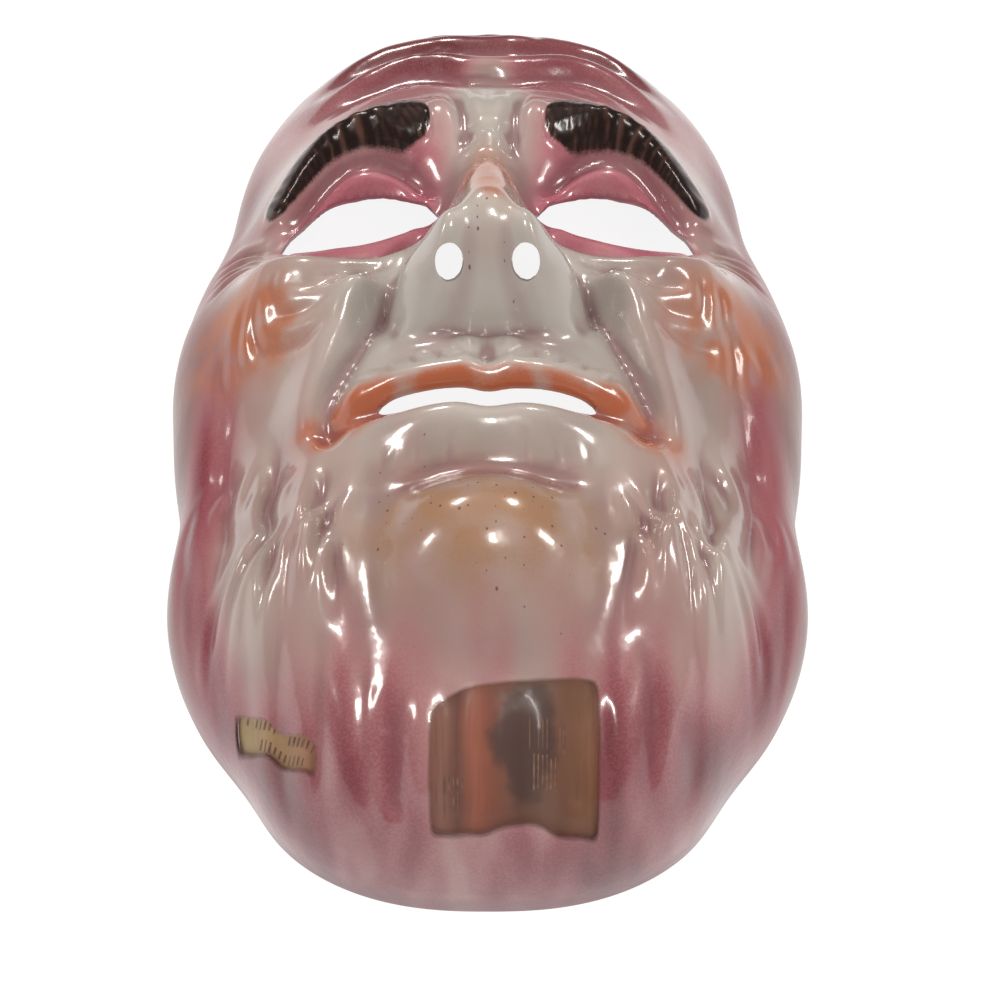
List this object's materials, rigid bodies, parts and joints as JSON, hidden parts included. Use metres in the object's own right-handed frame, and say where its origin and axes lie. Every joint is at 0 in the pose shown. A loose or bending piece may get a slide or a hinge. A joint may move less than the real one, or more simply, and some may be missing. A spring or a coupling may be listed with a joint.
{
  "type": "old man face mask",
  "caption": "Thin moulded see-through plastic carnival mask of a wrinkled old man's face, with eye, nostril and mouth openings and paper labels inside.",
  "frame": {"origin": "bottom centre of the bounding box, in the plane of the trimmed edge", "axes": "+X to the right of someone facing the mask, +Y from chin to forehead, +Z out of the face; the mask lies face up on its trimmed edge"},
  "size_m": [0.1732, 0.268, 0.1099],
  "materials": {
    "mask_plastic": "glossy",
    "brown_label_paper": "aged paper",
    "beige_label_paper": "aged paper"
  },
  "bodies": {
    "root": {"mask_shell": "mask_plastic", "large_label": "brown_label_paper", "small_label": "beige_label_paper"}
  },
  "joints": []
}
